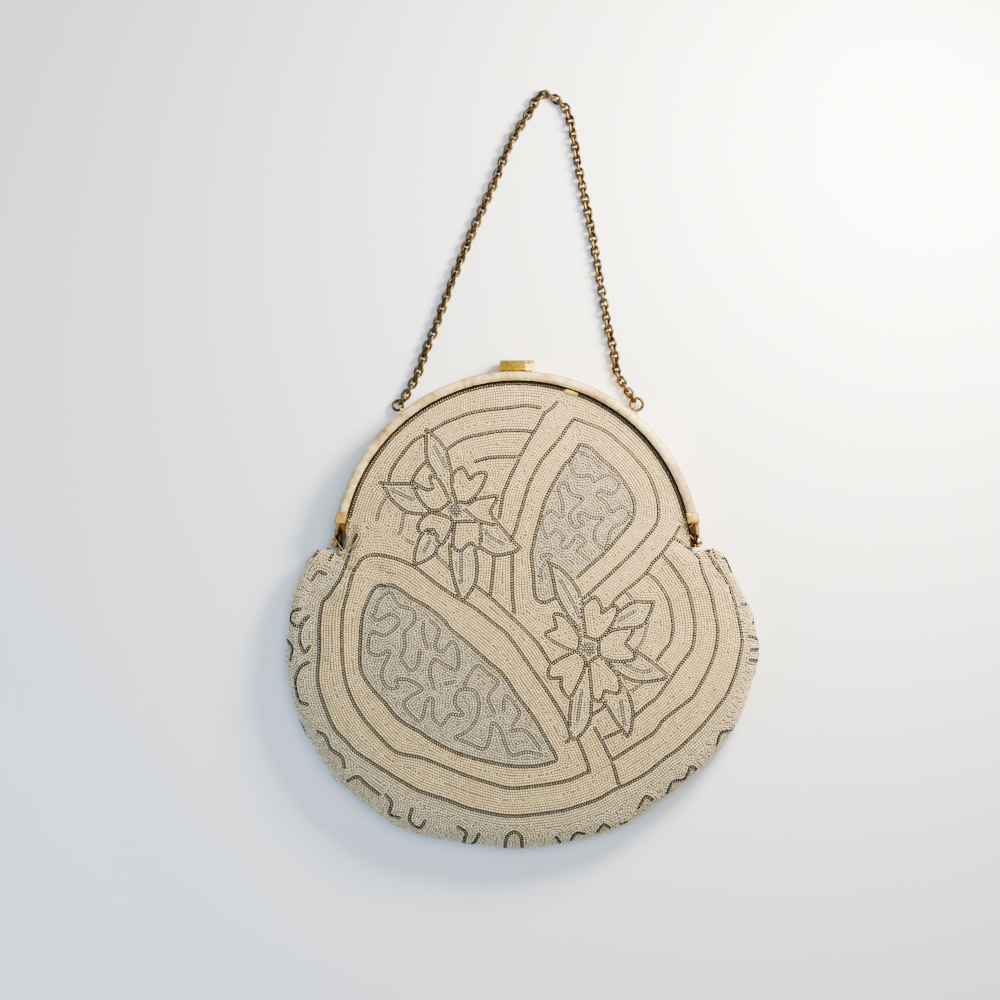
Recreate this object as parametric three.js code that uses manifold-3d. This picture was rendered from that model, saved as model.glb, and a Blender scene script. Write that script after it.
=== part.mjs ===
// A beaded evening purse on an arched clasp frame, with a chain handle, lying on its back.
// Millimetres. X runs along the frame's hinge line, Y from the bottom seam towards the clasp and Z up
// out of the surface that the purse lies on. The origin is on that surface, under the arch's centre.
import * as THREE from "three";
import { mergeVertices } from "three/addons/utils/BufferGeometryUtils.js";
import Module from "manifold-3d";

const wasm = await Module();
wasm.setup();

// Driving dimensions.
const gap = 0.3; // clearance between neighbouring pieces
const turnSteps = 76; // facets in a whole turn of the arch

const frameRadius = 81; // outer edge of the frame's metal
const frameDepth = 14.2; // both halves closed, with their covers
const frameSheet = 1; // thickness of the frame's metal
const coverThickness = 1.6;
const coverWidth = 3.7;
const rimWidth = 0.4; // metal that shows outside the cover
const flangeWidth = 0.8; // metal that shows inside the cover

const hingeHeight = 5.8; // hinge axis above the arch's centre
const hingeRadius = 2.6;
const hingePinRadius = 1;
const hingeHeadLength = 0.8;
const hingeHeadRadius = 1.7;
const earThickness = 1.8;

const clipLength = 4.6;
const clipSheet = 0.5;
const clipDistance = 5.6; // from the top of the hinge knuckle to the clip

const clothWall = 1.6;
const bagHalfWidth = 104.5;
const bagDrop = 129; // from the arch's centre to the bottom seam
const bagDepth = 22;
const bagEdgeHeight = 6.5; // where the side seam runs above the surface below
const bagMiddle = 0.31; // share of the drop at which the bag is fullest
const edgeBand = 5.5; // width of the rounded edge, and of the lip in the frame
const shoulderRun = 6.5; // height over which the cloth draws in above the hinge
const shoulderSpread = 0.55; // share of the drop and of the arch over which the front flattens
const lipSteps = 26;
const seamSteps = 2; // facets between two rows of the outline's table
const softShare = 0.07; // share of the outline that its softening looks over, each way
const softSteps = 8;
const softDivisions = 2000;

const claspWidth = 15.2;
const claspHeight = 4.4;
const claspSheet = 0.8;
const claspPinRadius = 0.5;
const claspEarRadius = 1.25;
const claspEarThickness = 1.2;
const claspFrontRecess = 2.2; // how far the clasp's front stays below the cover's face
const claspBackRecess = 2; // how far its back edge stays above the surface below
const catchWidth = 9.1;
const catchThickness = 1.8;
const catchDistance = 0.6; // between the catch and the clasp's front

const lugAngle = 38.5; // degrees from the clasp to each chain lug, either side
const lugRadius = 1.4;
const lugWire = 0.5;
const lugBed = 0.75; // share of the back metal's depth at which the lugs stand

const wireSides = 6;
const ringSteps = 12;
const chainDiameter = 3.4;
const chainSides = 8;
const chainSteps = 52;
const chainWire = 0.5; // radius of a link's wire
const linkLength = 4.9;
const linkWidth = 3.6;
const handleHeight = 139; // from the lugs to the top of the laid chain

// The jump rings. Sag is how far one hangs from level, in degrees, towards is the bearing of the chain.
const leftRing = { side: -1, radius: 2.4, wire: 0.5, sag: 24, towards: 45 };
const rightRing = { side: 1, radius: 2.8, wire: 0.55, sag: 6, towards: 122 };
const connectorRadius = 1.9;
const connectorWire = 0.6;

// Section of a cover with its two bevels. Out is a share of coverWidth, up of coverThickness.
const coverTable = [
  { out: 0, up: 0 },
  { out: 1, up: 0 },
  { out: 1, up: 0.55 },
  { out: 0.72, up: 1 },
  { out: 0.34, up: 1 },
  { out: 0, up: 0.45 },
];

// The bag's outline below the hinges. Drop is a share of bagDrop, left and right of bagHalfWidth.
const outlineTable = [
  { drop: 0.034, left: 0.893, right: 0.893 },
  { drop: 0.136, left: 0.951, right: 0.96 },
  { drop: 0.239, left: 0.965, right: 1.007 },
  { drop: 0.341, left: 0.977, right: 1.023 },
  { drop: 0.443, left: 0.965, right: 0.989 },
  { drop: 0.546, left: 0.93, right: 0.947 },
  { drop: 0.648, left: 0.867, right: 0.867 },
  { drop: 0.75, left: 0.788, right: 0.754 },
  { drop: 0.853, left: 0.64, right: 0.581 },
  { drop: 0.92, left: 0.49, right: 0.44 },
  { drop: 0.972, left: 0.27, right: 0.25 },
];

// The shoulder that swells out under each hinge. Out is a share of hingeRadius past the hinge's outer
// face, up a share of it above the knuckle's underside.
const shoulderTable = [
  { out: -0.6, up: -0.85 },
  { out: 0.5, up: -0.6 },
  { out: 1.9, up: 0.12 },
  { out: 3.6, up: -0.75 },
];

// Sections of the bag from its edge to its middle. Band is a share of edgeBand, way of the rest of the
// way in. The round columns are shares of the rise to bagDepth and of the fall to the surface below
// along the seam, the lip columns the same where the cloth leaves the frame.
const sectionTable = [
  { band: 0, way: 0, roundRise: 0.13, roundFall: 0.3, lipRise: 0, lipFall: 0 },
  { band: 0.3, way: 0, roundRise: 0.32, roundFall: 0.72, lipRise: 0, lipFall: 0 },
  { band: 1, way: 0, roundRise: 0.5, roundFall: 1, lipRise: 0, lipFall: 0 },
  { band: 1, way: 0.15, roundRise: 0.7, roundFall: 1, lipRise: 0.24, lipFall: 0.55 },
  { band: 1, way: 0.38, roundRise: 0.87, roundFall: 1, lipRise: 0.58, lipFall: 1 },
  { band: 1, way: 0.66, roundRise: 0.965, roundFall: 1, lipRise: 0.87, lipFall: 1 },
];

const middleSection = { band: 1, way: 1, roundRise: 1, roundFall: 1, lipRise: 1, lipFall: 1 };

// Folds that the gathered cloth makes under the hinges. Across is a share of bagHalfWidth, down of
// bagDrop, width and lift of edgeBand.
const foldTable = [
  { across: -0.64, down: -0.05, toAcross: -0.766, toDown: 0.136, width: 1, lift: 0.36 },
  { across: -0.71, down: -0.02, toAcross: -0.82, toDown: 0.2, width: 0.9, lift: -0.34 },
  { across: -0.585, down: -0.02, toAcross: -0.7, toDown: 0.155, width: 0.9, lift: -0.24 },
  { across: 0.73, down: -0.03, toAcross: 0.865, toDown: 0.155, width: 0.9, lift: -0.32 },
  { across: 0.67, down: -0.05, toAcross: 0.79, toDown: 0.12, width: 1, lift: 0.28 },
  { across: 0.61, down: -0.02, toAcross: 0.71, toDown: 0.13, width: 0.9, lift: -0.2 },
];

// Route of the laid chain from the left lug to the right one: across as a share of frameRadius, up as a
// share of handleHeight above the lugs.
const chainRoute = [
  { across: -0.543, up: 0.11 },
  { across: -0.497, up: 0.186 },
  { across: -0.443, up: 0.263 },
  { across: -0.348, up: 0.414 },
  { across: -0.24, up: 0.566 },
  { across: -0.125, up: 0.718 },
  { across: -0.073, up: 0.794 },
  { across: -0.011, up: 0.87 },
  { across: 0.073, up: 0.946 },
  { across: 0.109, up: 0.984 },
  { across: 0.158, up: 1 },
  { across: 0.215, up: 0.983 },
  { across: 0.274, up: 0.946 },
  { across: 0.307, up: 0.87 },
  { across: 0.328, up: 0.794 },
  { across: 0.353, up: 0.718 },
  { across: 0.407, up: 0.566 },
  { across: 0.451, up: 0.414 },
  { across: 0.497, up: 0.263 },
  { across: 0.527, up: 0.186 },
  { across: 0.552, up: 0.11 },
];

// Sizes that follow from them.
const parting = frameDepth / 2; // level of the plane where the frame's halves meet
const plateOuter = parting - coverThickness - gap; // heights above the parting plane
const plateInner = plateOuter - frameSheet;
const lipOuter = plateInner - gap;
const metalOuter = frameRadius;
const wallInner = metalOuter - frameSheet;
const coverOuter = frameRadius - rimWidth;
const coverInner = coverOuter - coverWidth;
const flangeInner = coverInner - flangeWidth;
const lipRadius = wallInner - 2 * gap;
const archFoot = hingeHeight + hingeRadius + 2 * gap; // where the arch's metal ends above the hinge
const backEarOuter = Math.sqrt(metalOuter ** 2 - archFoot ** 2);
const backEarInner = backEarOuter - earThickness;
const frontEarOuter = backEarInner - gap;
const frontEarInner = frontEarOuter - earThickness;
const hingeUnderside = hingeHeight - hingeRadius;
const clipFoot = hingeHeight + hingeRadius + clipDistance;
const coverFoot = clipFoot + clipLength + gap;
const lipFootX = frontEarInner - 4 * gap; // where the cloth passes inside the hinge
const lugOut = metalOuter + lugRadius - gap;
const lugLevel = parting - lugBed * plateOuter;
const claspFoot = metalOuter + gap;
const claspTop = claspFoot + claspHeight;
const claspFront = frameDepth - claspFrontRecess;
const claspBack = claspBackRecess;
const claspPinHeight = claspTop - claspSheet - gap - claspEarRadius;
const claspPinLevel = claspBack + claspSheet + gap + claspPinRadius;
const reach = 2 * (frameRadius + bagHalfWidth); // longer than any piece, for cutting blocks

const gilt = new THREE.MeshStandardMaterial({ color: 0xb98a3c, roughness: 0.34, metalness: 1 });
const brightGilt = new THREE.MeshStandardMaterial({ color: 0xdcb53f, roughness: 0.25, metalness: 1 });
const oldBrass = new THREE.MeshStandardMaterial({ color: 0x9a7433, roughness: 0.4, metalness: 1 });
const ivory = new THREE.MeshStandardMaterial({ color: 0xe6d5b0, roughness: 0.3, metalness: 0 });
const beadedCloth = new THREE.MeshStandardMaterial({ color: 0xe4d5bb, roughness: 0.55, metalness: 0 });

const purse = new THREE.Group();

function toSolid(geometry) {
  const bare = geometry.clone();
  bare.deleteAttribute("normal");
  bare.deleteAttribute("uv");
  const merged = mergeVertices(bare, 1e-4);
  const vertProperties = new Float32Array(merged.attributes.position.array);
  const triVerts = new Uint32Array(merged.index.array);
  const made = new wasm.Manifold(new wasm.Mesh({ numProp: 3, vertProperties, triVerts }));
  if (made.volume() >= 0) return made;
  for (let i = 0; i < triVerts.length; i += 3) {
    [triVerts[i + 1], triVerts[i + 2]] = [triVerts[i + 2], triVerts[i + 1]];
  }
  return new wasm.Manifold(new wasm.Mesh({ numProp: 3, vertProperties, triVerts }));
}

function join(solids) {
  return solids.reduce((whole, next) => whole.add(next));
}

function addPiece(name, solid, material) {
  const { vertProperties, triVerts } = solid.getMesh();
  const geometry = new THREE.BufferGeometry();
  geometry.setAttribute("position", new THREE.BufferAttribute(vertProperties, 3));
  geometry.setIndex(new THREE.BufferAttribute(triVerts, 1));
  const flat = geometry.toNonIndexed();
  flat.computeVertexNormals();
  const mesh = new THREE.Mesh(flat, material.clone());
  mesh.name = name;
  purse.add(mesh);
}

// A block given by its lowest and highest corners.
function block(low, high) {
  const size = high.map((value, axis) => value - low[axis]);
  const geometry = new THREE.BoxGeometry(...size);
  geometry.translate(...low.map((value, axis) => value + size[axis] / 2));
  return toSolid(geometry);
}

// A round bar along X.
function barAlongX(fromX, toX, y, z, radius, sides = 20) {
  const geometry = new THREE.CylinderGeometry(radius, radius, Math.abs(toX - fromX), sides);
  geometry.rotateZ(Math.PI / 2);
  geometry.translate((fromX + toX) / 2, y, z);
  return toSolid(geometry);
}

// A section of (radius, height above the parting plane) turned about the arch's centre, on the side of
// the frame given by half: 1 for the front one and -1 for the back one.
function turned(section, half) {
  const closed = [...section, section[0]].map(([radius, height]) => new THREE.Vector2(radius, height));
  const geometry = new THREE.LatheGeometry(closed, turnSteps);
  geometry.rotateX(Math.PI / 2);
  geometry.scale(1, 1, half);
  geometry.translate(0, 0, parting);
  return toSolid(geometry);
}

function above(solid, y) {
  return solid.subtract(block([-reach, -reach, -reach], [reach, y, reach]));
}

function below(solid, y) {
  return solid.subtract(block([-reach, y, -reach], [reach, reach, reach]));
}

// Height of something that stands h above the parting plane of the front or the back half.
const level = (h, half) => parting + half * h;

function levels(a, b, half) {
  const pair = [level(a, half), level(b, half)];
  return pair.sort((first, second) => first - second);
}

function addFrameHalf(name, half, extras) {
  const channel = [
    [flangeInner, plateInner],
    [wallInner, plateInner],
    [wallInner, gap / 2],
    [metalOuter, gap / 2],
    [metalOuter, plateOuter - rimWidth],
    [coverOuter, plateOuter],
    [flangeInner, plateOuter],
  ];
  const parts = [above(turned(channel, half), archFoot)];
  const inner = half > 0 ? frontEarInner : backEarInner;
  const outer = half > 0 ? frontEarOuter : backEarOuter;
  const [low, high] = levels(gap / 2, plateOuter, half);
  for (const side of [-1, 1]) {
    const [x0, x1] = [side * inner, side * outer].sort((first, second) => first - second);
    parts.push(block([x0, hingeHeight, low], [x1, archFoot + hingeRadius, high]));
    parts.push(barAlongX(x0, x1, hingeHeight, parting, hingeRadius));
  }
  let frame = join([...parts, ...extras]);
  frame = frame.subtract(barAlongX(-reach, reach, hingeHeight, parting, hingePinRadius + gap));
  addPiece(name, frame, gilt);
}

function addCover(name, half) {
  const crown = plateOuter + gap;
  const section = coverTable.map((row) => [
    coverInner + row.out * coverWidth,
    crown + row.up * coverThickness,
  ]);
  addPiece(name, above(turned(section, half), coverFoot), ivory);
}

// A gilt cap that closes each end of a cover and folds down the outside of the frame.
function addClips(name, half) {
  const bed = plateOuter + gap;
  const crown = bed + coverThickness;
  const inside = coverInner - gap;
  const outside = metalOuter + gap;
  const section = [
    [inside, bed],
    [outside, bed],
    [outside, plateInner / 2],
    [outside + clipSheet, plateInner / 2],
    [outside + clipSheet, crown - clipSheet],
    [outside, crown],
    [inside + clipSheet, crown],
    [inside, crown - clipSheet],
  ];
  const strips = below(above(turned(section, half), clipFoot), clipFoot + clipLength);
  const sides = { left: [-reach, 0], right: [0, reach] };
  for (const [side, [low, high]] of Object.entries(sides)) {
    addPiece(`${name}_${side}`, strips.intersect(block([low, 0, -reach], [high, reach, reach])), brightGilt);
  }
}

function addHingePins() {
  for (const [side, sign] of [["left", -1], ["right", 1]]) {
    const headStart = backEarOuter + gap;
    const shankStart = frontEarInner + gap;
    const shank = barAlongX(sign * shankStart, sign * headStart, hingeHeight, parting, hingePinRadius);
    const headEnd = headStart + hingeHeadLength;
    const head = barAlongX(sign * headStart, sign * headEnd, hingeHeight, parting, hingeHeadRadius);
    addPiece(`hinge_pin_${side}`, shank.add(head), gilt);
  }
}

// A ring of round wire whose plane holds the directions along and across.
function wireRing(radius, wire, centre, along, across, stretch = 0) {
  const geometry = new THREE.TorusGeometry(radius, wire, wireSides, ringSteps);
  geometry.rotateZ(Math.PI / ringSteps);
  const points = geometry.attributes.position;
  for (let i = 0; i < points.count; i += 1) {
    points.setX(i, points.getX(i) + (Math.sign(points.getX(i)) * stretch) / 2);
  }
  const out = new THREE.Vector3().crossVectors(along, across);
  geometry.applyMatrix4(new THREE.Matrix4().makeBasis(along, across, out).setPosition(centre));
  return toSolid(geometry);
}

// Where a jump ring and what hangs on it lie: the lug's middle, the ring's own axes and the point of
// its wire that the chain pulls on.
function layRing(ring) {
  const bearing = Math.PI / 2 - ring.side * THREE.MathUtils.degToRad(lugAngle);
  const sag = THREE.MathUtils.degToRad(ring.sag);
  const towards = THREE.MathUtils.degToRad(ring.towards);
  const radial = new THREE.Vector3(Math.cos(bearing), Math.sin(bearing), 0);
  const round = new THREE.Vector3(-radial.y, radial.x, 0);
  const lug = radial.clone().multiplyScalar(lugOut).setZ(lugLevel);
  const outward = radial.clone().multiplyScalar(Math.cos(sag)).setZ(-Math.sin(sag));
  const centre = lug.clone().addScaledVector(outward, ring.radius);
  const pull = new THREE.Vector3(Math.cos(towards), Math.sin(towards), 0);
  const along = outward.clone().multiplyScalar(pull.dot(radial));
  along.addScaledVector(round, pull.dot(round)).normalize();
  const axis = new THREE.Vector3().crossVectors(outward, round);
  const hold = centre.clone().addScaledVector(along, ring.radius);
  return { lug, radial, outward, round, centre, along, axis, hold };
}

function lugSolids() {
  const up = new THREE.Vector3(0, 0, 1);
  return [leftRing, rightRing].map((ring) => {
    const { lug, radial } = layRing(ring);
    return wireRing(lugRadius, lugWire, lug, radial, up);
  });
}

// How far past the jump ring's wire a link of this length reaches, and where its middle lies.
function linkReach(ring, wire, length) {
  const near = -(ring.wire + wire + gap);
  return { middle: near + length / 2 - wire, far: near + length - wire };
}

function addRings() {
  for (const [ring, side] of [[leftRing, "left"], [rightRing, "right"]]) {
    const { centre, outward, round } = layRing(ring);
    addPiece(`jump_ring_${side}`, wireRing(ring.radius, ring.wire, centre, outward, round), oldBrass);
  }
  const left = layRing(leftRing);
  const linkMiddle = left.hold.clone();
  linkMiddle.addScaledVector(left.along, linkReach(leftRing, chainWire, linkLength).middle);
  const bend = linkWidth / 2 - chainWire;
  const endLink = wireRing(bend, chainWire, linkMiddle, left.along, left.axis, linkLength - linkWidth);
  addPiece("end_link_left", endLink, oldBrass);
  const right = layRing(rightRing);
  const ringMiddle = right.hold.clone();
  const connectorLength = 2 * (connectorRadius + connectorWire);
  ringMiddle.addScaledVector(right.along, linkReach(rightRing, connectorWire, connectorLength).middle);
  const connector = wireRing(connectorRadius, connectorWire, ringMiddle, right.along, right.axis);
  addPiece("connector_ring_right", connector, oldBrass);
}

function addChain() {
  const rest = chainDiameter / 2;
  const left = layRing(leftRing);
  const right = layRing(rightRing);
  const connectorLength = 2 * (connectorRadius + connectorWire);
  const start = left.hold.clone();
  start.addScaledVector(left.along, linkReach(leftRing, chainWire, linkLength).far + gap);
  const end = right.hold.clone();
  end.addScaledVector(right.along, linkReach(rightRing, connectorWire, connectorLength).far + gap);
  start.z = rest;
  end.z = rest;
  const anchor = left.lug.y;
  const middle = chainRoute.map(
    ({ across, up }) => new THREE.Vector3(across * frameRadius, anchor + up * handleHeight, rest),
  );
  const route = new THREE.CatmullRomCurve3([start, ...middle, end], false, "centripetal");
  const section = new THREE.Shape();
  const corner = rest / Math.cos(Math.PI / chainSides);
  for (let i = 0; i < chainSides; i += 1) {
    const turn = ((2 * i + 1) * Math.PI) / chainSides;
    const [x, y] = [corner * Math.cos(turn), corner * Math.sin(turn)];
    if (i === 0) section.moveTo(x, y);
    else section.lineTo(x, y);
  }
  const geometry = new THREE.ExtrudeGeometry(section, { steps: chainSteps, extrudePath: route });
  addPiece("chain", toSolid(geometry), oldBrass);
}

function claspBore() {
  return barAlongX(-claspWidth, claspWidth, claspPinHeight, claspPinLevel, claspPinRadius + gap);
}

// Two ears on the back half that carry the clasp's pin.
function claspEars() {
  return [-1, 1].map((side) => {
    const outer = side * (claspWidth / 2 - claspSheet - gap);
    const inner = outer - side * claspEarThickness;
    const [low, high] = [Math.min(inner, outer), Math.max(inner, outer)];
    const foot = [low, wallInner, claspPinLevel - claspEarRadius];
    const stem = block(foot, [high, claspPinHeight, claspPinLevel + claspEarRadius]);
    const knuckle = barAlongX(low, high, claspPinHeight, claspPinLevel, claspEarRadius);
    return stem.add(knuckle).subtract(claspBore());
  });
}

// The nose on the front half that the clasp snaps over.
function claspCatch() {
  const front = claspFront - claspSheet - catchDistance;
  const low = [-catchWidth / 2, wallInner, front - catchThickness];
  return block(low, [catchWidth / 2, claspFoot + claspHeight / 2, front]);
}

function addClasp() {
  const half = claspWidth / 2;
  const front = block([-half, claspFoot, claspFront - claspSheet], [half, claspTop, claspFront]);
  const top = block([-half, claspTop - claspSheet, claspBack], [half, claspTop, claspFront]);
  const cheeks = [-1, 1].flatMap((side) => {
    const [low, high] = side < 0 ? [-half, -half + claspSheet] : [half - claspSheet, half];
    const cheek = block([low, claspFoot, claspPinLevel], [high, claspTop, claspFront]);
    const backCorner = block([low, claspPinHeight, claspBack], [high, claspTop, claspFront]);
    const knuckle = barAlongX(low, high, claspPinHeight, claspPinLevel, claspPinLevel - claspBack);
    return [cheek, backCorner, knuckle];
  });
  addPiece("clasp_lever", join([front, top, ...cheeks]).subtract(claspBore()), brightGilt);
  addPiece("clasp_pin", barAlongX(-half, half, claspPinHeight, claspPinLevel, claspPinRadius), brightGilt);
}

// Height that the folds give the front of the bag at a point.
function foldLift(x, y) {
  return foldTable.reduce((sum, fold) => {
    const from = new THREE.Vector2(fold.across * bagHalfWidth, -fold.down * bagDrop);
    const to = new THREE.Vector2(fold.toAcross * bagHalfWidth, -fold.toDown * bagDrop);
    const run = to.clone().sub(from);
    const point = new THREE.Vector2(x, y).sub(from);
    const share = THREE.MathUtils.clamp(point.dot(run) / run.lengthSq(), 0, 1);
    const distance = point.sub(run.multiplyScalar(share)).length() / (fold.width * edgeBand);
    return sum + fold.lift * edgeBand * Math.exp(-(distance ** 2));
  }, 0);
}

// The bag's outline, seen from the front: the arch of its lip, a shoulder under each hinge and the
// round bottom. Each point of it carries the rounder line that the cloth follows away from the seam.
function bagRim() {
  const corners = [];
  const foot = Math.asin((archFoot + shoulderRun) / lipRadius);
  for (let i = 0; i <= lipSteps; i += 1) {
    const turn = foot + ((Math.PI - 2 * foot) * i) / lipSteps;
    corners.push([lipRadius * Math.cos(turn), lipRadius * Math.sin(turn)]);
  }
  const side = [
    [lipFootX, archFoot + shoulderRun / 2],
    [lipFootX, hingeHeight],
    [lipFootX, hingeUnderside],
    [lipFootX + 2 * gap, hingeUnderside - 4 * gap],
  ];
  for (const { out, up } of shoulderTable) {
    side.push([backEarOuter + out * hingeRadius, hingeUnderside + up * hingeRadius]);
  }
  const left = outlineTable.map((row) => [-row.left * bagHalfWidth, -row.drop * bagDrop]);
  const right = outlineTable.map((row) => [row.right * bagHalfWidth, -row.drop * bagDrop]);
  const leftSide = side.map(([x, y]) => [-x, y]);
  corners.push(...leftSide, ...left, [0, -bagDrop], ...right.reverse(), ...side.reverse());
  const curve = new THREE.CatmullRomCurve3(corners.map(([x, y]) => new THREE.Vector3(x, y, 0)), true);
  curve.arcLengthDivisions = softDivisions;
  const points = corners.flatMap(([, y], i) => {
    const steps = y < 0 ? seamSteps : 1;
    return Array.from({ length: steps }, (_, step) => curve.getPoint((i + step / steps) / corners.length));
  });
  const runs = points.map((point, i) => point.distanceTo(points[(i + 1) % points.length]));
  const whole = runs.reduce((sum, run) => sum + run);
  let run = 0;
  return points.map((seam, i) => {
    const soft = new THREE.Vector3();
    for (let j = -softSteps; j <= softSteps; j += 1) {
      const share = run / whole + (j / softSteps) * softShare;
      soft.add(curve.getPointAt(THREE.MathUtils.euclideanModulo(share, 1)));
    }
    run += runs[i];
    return { seam, soft: soft.divideScalar(2 * softSteps + 1) };
  });
}

// The way in from the seam, between its own normal and the line to the middle.
function inwardsAt(rim, column, middle) {
  const next = rim[(column + 1) % rim.length].seam;
  const last = rim[(column + rim.length - 1) % rim.length].seam;
  const normal = new THREE.Vector3(last.y - next.y, next.x - last.x, 0).normalize();
  return middle.clone().sub(rim[column].seam).normalize().add(normal).normalize();
}

// The closed form of the bag. Inset draws it in from the seam and opens it past the lip, and thins it
// by the same amount above and below, which gives the hollow inside.
function bagForm(rim, inset) {
  const rows = sectionTable.length;
  const geometry = new THREE.SphereGeometry(1, rim.length, 2 * rows + 1);
  const position = geometry.attributes.position;
  const middle = new THREE.Vector3(0, -bagMiddle * bagDrop, 0);
  for (let column = 0; column <= rim.length; column += 1) {
    const { seam, soft } = rim[column % rim.length];
    const lipAtSeam = THREE.MathUtils.smoothstep(seam.y, hingeUnderside - gap, hingeHeight);
    const spread = [-shoulderSpread * bagDrop, shoulderSpread * frameRadius];
    const lipInside = THREE.MathUtils.smoothstep(soft.y, ...spread);
    const inwards = inwardsAt(rim, column % rim.length, middle);
    for (let row = 0; row <= 2 * rows + 1; row += 1) {
      const front = row <= rows;
      const index = front ? rows - row : row - rows - 1;
      const section = sectionTable[index] ?? middleSection;
      const lip = section.way > 0 ? lipInside : lipAtSeam;
      const lipShift = inset * Math.min(section.band - 1, 0);
      const shift = THREE.MathUtils.lerp(inset, lipShift, lipAtSeam);
      const nearSeam = seam.clone().addScaledVector(inwards, shift + section.band * edgeBand);
      const at = section.way > 0 ? soft.clone().lerp(middle, section.way) : nearSeam;
      const roundTop = THREE.MathUtils.lerp(bagEdgeHeight, bagDepth, section.roundRise);
      const lipTop = THREE.MathUtils.lerp(parting + lipOuter, bagDepth, section.lipRise);
      const roundBed = bagEdgeHeight * (1 - section.roundFall);
      const lipBed = (parting - lipOuter) * (1 - section.lipFall);
      const fold = (section.way > 0 ? 1 : section.band * (1 - lip)) * foldLift(at.x, at.y);
      const top = THREE.MathUtils.lerp(roundTop, lipTop, lip) + fold - inset;
      const bed = THREE.MathUtils.lerp(roundBed, lipBed, lip) + inset;
      position.setXYZ(row * (rim.length + 1) + column, at.x, at.y, front ? top : bed);
    }
  }
  return toSolid(geometry);
}

function addBag() {
  const rim = bagRim();
  addPiece("bag_body", bagForm(rim, 0).subtract(bagForm(rim, clothWall)), beadedCloth);
}

addBag();
addFrameHalf("frame_back", -1, [...lugSolids(), ...claspEars()]);
addFrameHalf("frame_front", 1, [claspCatch()]);
addCover("cover_back", -1);
addCover("cover_front", 1);
addClips("end_clip_back", -1);
addClips("end_clip_front", 1);
addHingePins();
addClasp();
addRings();
addChain();

export default purse;
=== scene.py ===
import math

import bmesh
import bpy
import numpy as np
from mathutils import Matrix, Vector
from mathutils.bvhtree import BVHTree
from mathutils.kdtree import KDTree


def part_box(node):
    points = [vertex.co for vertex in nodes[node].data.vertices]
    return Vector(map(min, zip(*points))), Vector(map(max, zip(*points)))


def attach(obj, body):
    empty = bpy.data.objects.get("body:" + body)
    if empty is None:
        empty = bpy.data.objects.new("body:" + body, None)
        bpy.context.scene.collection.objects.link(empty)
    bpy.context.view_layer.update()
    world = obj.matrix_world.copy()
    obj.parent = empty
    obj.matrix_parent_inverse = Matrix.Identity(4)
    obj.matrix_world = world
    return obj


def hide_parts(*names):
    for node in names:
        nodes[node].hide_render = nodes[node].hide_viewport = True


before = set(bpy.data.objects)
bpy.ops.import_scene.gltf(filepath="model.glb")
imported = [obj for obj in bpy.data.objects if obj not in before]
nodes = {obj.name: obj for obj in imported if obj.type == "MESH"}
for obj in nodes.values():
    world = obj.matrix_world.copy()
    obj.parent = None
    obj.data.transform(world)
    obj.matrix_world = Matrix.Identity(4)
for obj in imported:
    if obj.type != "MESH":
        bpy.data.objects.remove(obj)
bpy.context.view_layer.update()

mm = 0.001
dice = np.random.default_rng(1925)


# Camera, straight above the purse as it lies on its back.

cameraPlan = {"height": 2.4, "level": 0.009, "width": 0.44, "centre": (-0.0075, 0.0242), "sensor": 36.0}

camera = bpy.data.objects.new("camera", bpy.data.cameras.new("camera"))
camera.data.sensor_width = cameraPlan["sensor"]
camera.data.lens = cameraPlan["sensor"] * (cameraPlan["height"] - cameraPlan["level"]) / cameraPlan["width"]
camera.location = (*cameraPlan["centre"], cameraPlan["height"])
camera.data.clip_end = 10
bpy.context.scene.collection.objects.link(camera)
bpy.context.scene.camera = camera


# Small helpers for meshes.

def addPiece(name, mesh, body="purse"):
    piece = bpy.data.objects.new(name, mesh)
    bpy.context.scene.collection.objects.link(piece)
    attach(piece, body)
    return piece


def bakeModifiers(piece):
    bpy.context.view_layer.update()
    graph = bpy.context.evaluated_depsgraph_get()
    made = bpy.data.meshes.new_from_object(piece.evaluated_get(graph))
    piece.modifiers.clear()
    piece.data = made


def smoothstep(low, high, value):
    share = np.clip((value - low) / (high - low), 0, 1)
    return share * share * (3 - 2 * share)


def arcLengths(points):
    return np.concatenate([[0], np.cumsum(np.linalg.norm(np.diff(points, axis=0), axis=1))])


def resample(points, step):
    run = arcLengths(points)
    count = max(2, int(round(run[-1] / step)) + 1)
    at = np.linspace(0, run[-1], count)
    return np.stack([np.interp(at, run, points[:, axis]) for axis in range(points.shape[1])], axis=1)


# A smooth line through its points, as dense points a step apart.
def smoothLine(points, step):
    points = np.asarray(points, float)
    if len(points) > 2:
        padded = np.vstack([2 * points[0] - points[1], points, 2 * points[-1] - points[-2]])
        t = np.linspace(0, 1, 12, endpoint=False)[:, None]
        spans = []
        for a, b, c, d in zip(padded, padded[1:], padded[2:], padded[3:]):
            bend = (2 * a - 5 * b + 4 * c - d) * t**2
            spans.append(0.5 * (2 * b + (c - a) * t + bend + (3 * b - a - 3 * c + d) * t**3))
        points = np.vstack(spans + [points[-1:]])
    return resample(points, step)


# Material nodes.

def addNode(tree, kind, inputs=None, **settings):
    node = tree.nodes.new(kind)
    for key, value in settings.items():
        setattr(node, key, value)
    for key, value in (inputs or {}).items():
        if isinstance(value, bpy.types.NodeSocket):
            tree.links.new(value, node.inputs[key])
        else:
            node.inputs[key].default_value = value
    return node


def mathOf(tree, operation, *values, **settings):
    given = dict(enumerate(values))
    return addNode(tree, "ShaderNodeMath", given, operation=operation, **settings).outputs[0]


def mixOf(tree, share, first, second):
    return addNode(tree, "ShaderNodeMix", {0: share, 6: first, 7: second}, data_type="RGBA").outputs[2]


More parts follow.
